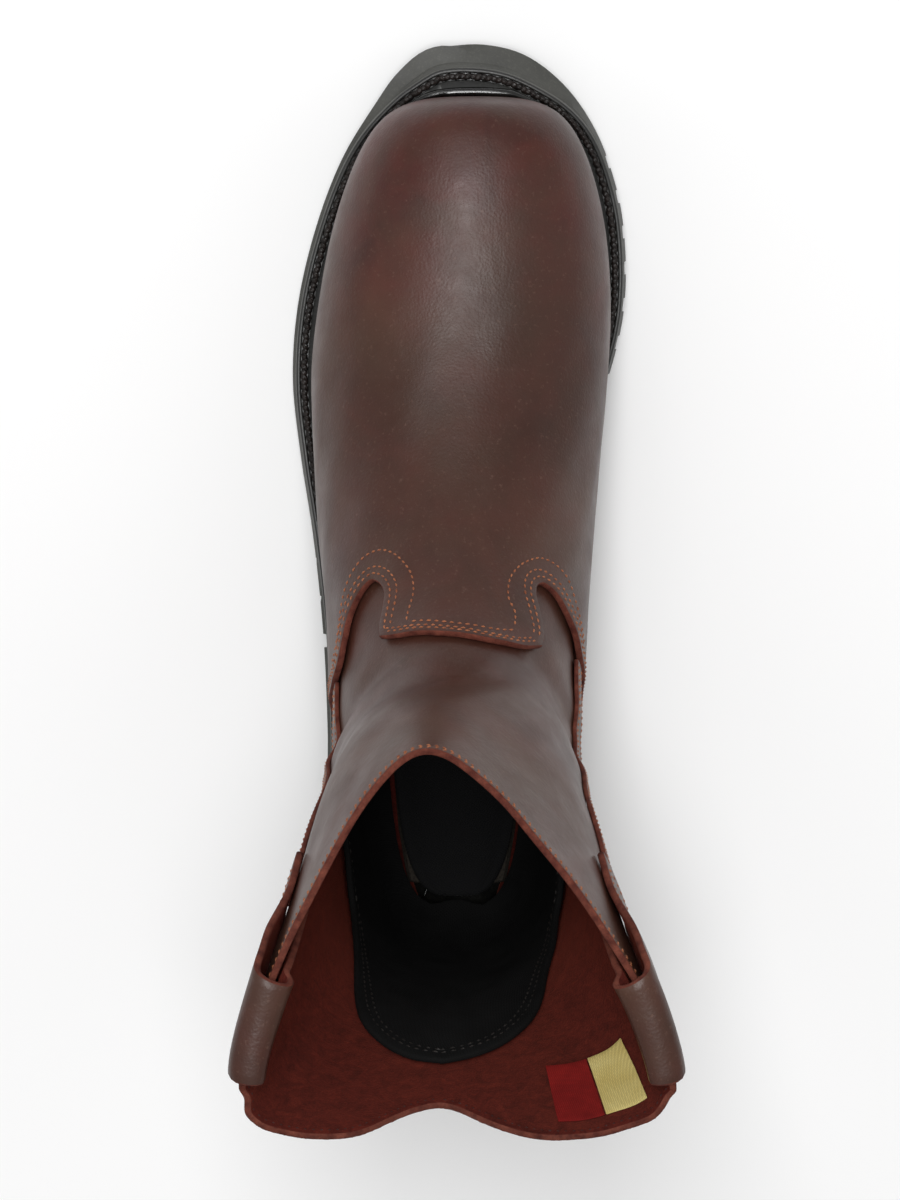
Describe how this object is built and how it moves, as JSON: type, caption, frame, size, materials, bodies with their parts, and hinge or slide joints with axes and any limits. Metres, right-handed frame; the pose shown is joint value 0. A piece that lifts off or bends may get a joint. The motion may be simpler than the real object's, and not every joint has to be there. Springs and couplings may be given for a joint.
{
  "type": "steel toe work boot",
  "caption": "Left pull-on leather safety boot with a steel toe cap, welted lug sole and two pull tabs.",
  "frame": {"origin": "on the ground under the middle of the boot's bounding box", "axes": "toe to -Y, heel to +Y, outer side of the foot +X, inner side -X, up +Z"},
  "size_m": [0.1332, 0.3162, 0.2591],
  "materials": {
    "upper_leather": "oiled full-grain, dark oxblood brown, soft sheen",
    "tread_rubber": "matte black rubber",
    "midsole_rubber": "matte black rubber",
    "welt_rubber": "satin black",
    "outseam_thread": "waxed black and brown thread",
    "insole_board": "fibre board",
    "cork": "pressed cork",
    "steel": "zinc plated",
    "footbed_cloth": "black cloth over foam",
    "felt": "needled felt",
    "lining_cloth": "black woven lining",
    "fibre": "fibre board",
    "cream_label": "woven label",
    "red_label": "woven label"
  },
  "bodies": {
    "boot": {"outsole": "tread_rubber", "heel_block": "tread_rubber", "heel_lift": "tread_rubber", "midsole": "midsole_rubber", "storm_welt": "welt_rubber", "outseam_thread": "outseam_thread", "insole_board": "insole_board", "cork_filler": "cork", "steel_shank": "steel", "steel_toe_cap": "steel", "vamp": "upper_leather", "vamp_interlining": "felt", "vamp_lining": "lining_cloth", "front_shaft": "upper_leather", "back_shaft": "upper_leather", "heel_stiffener": "fibre", "counter_cover": "upper_leather", "heel_lining": "lining_cloth", "seam_strip_outer_side": "upper_leather", "pull_tab_leg_outside_outer_side": "upper_leather", "pull_tab_leg_inside_outer_side": "upper_leather", "seam_strip_inner_side": "upper_leather", "pull_tab_leg_outside_inner_side": "upper_leather", "pull_tab_leg_inside_inner_side": "upper_leather", "label_size": "cream_label", "label_care": "red_label", "heel_nail_1": "steel", "heel_nail_2": "steel", "heel_nail_3": "steel", "heel_nail_4": "steel", "heel_nail_5": "steel", "heel_nail_6": "steel"},
    "loop_outer_side": {"pull_loop_outer_side": "upper_leather"},
    "loop_inner_side": {"pull_loop_inner_side": "upper_leather"},
    "loose_footbed": {"footbed": "footbed_cloth"}
  },
  "joints": [
    {"name": "loop_outer_side_flex", "type": "hinge", "parent": "boot", "child": "loop_outer_side", "pos_m": [0.0578, 0.11913, 0.251], "axis": [0.3194, 0.9476, 0], "range_deg": [-18, 18], "stiffness_Nm_per_rad": 0.05},
    {"name": "loop_inner_side_flex", "type": "hinge", "parent": "boot", "child": "loop_inner_side", "pos_m": [-0.05673, 0.1192, 0.251], "axis": [0.3929, -0.9196, 0], "range_deg": [-18, 18], "stiffness_Nm_per_rad": 0.05},
    {"name": "footbed_lift", "type": "hinge", "parent": "boot", "child": "loose_footbed", "pos_m": [-0.0055, -0.1285, 0.0185], "axis": [1, 0, 0], "range_deg": [0, 5]}
  ]
}
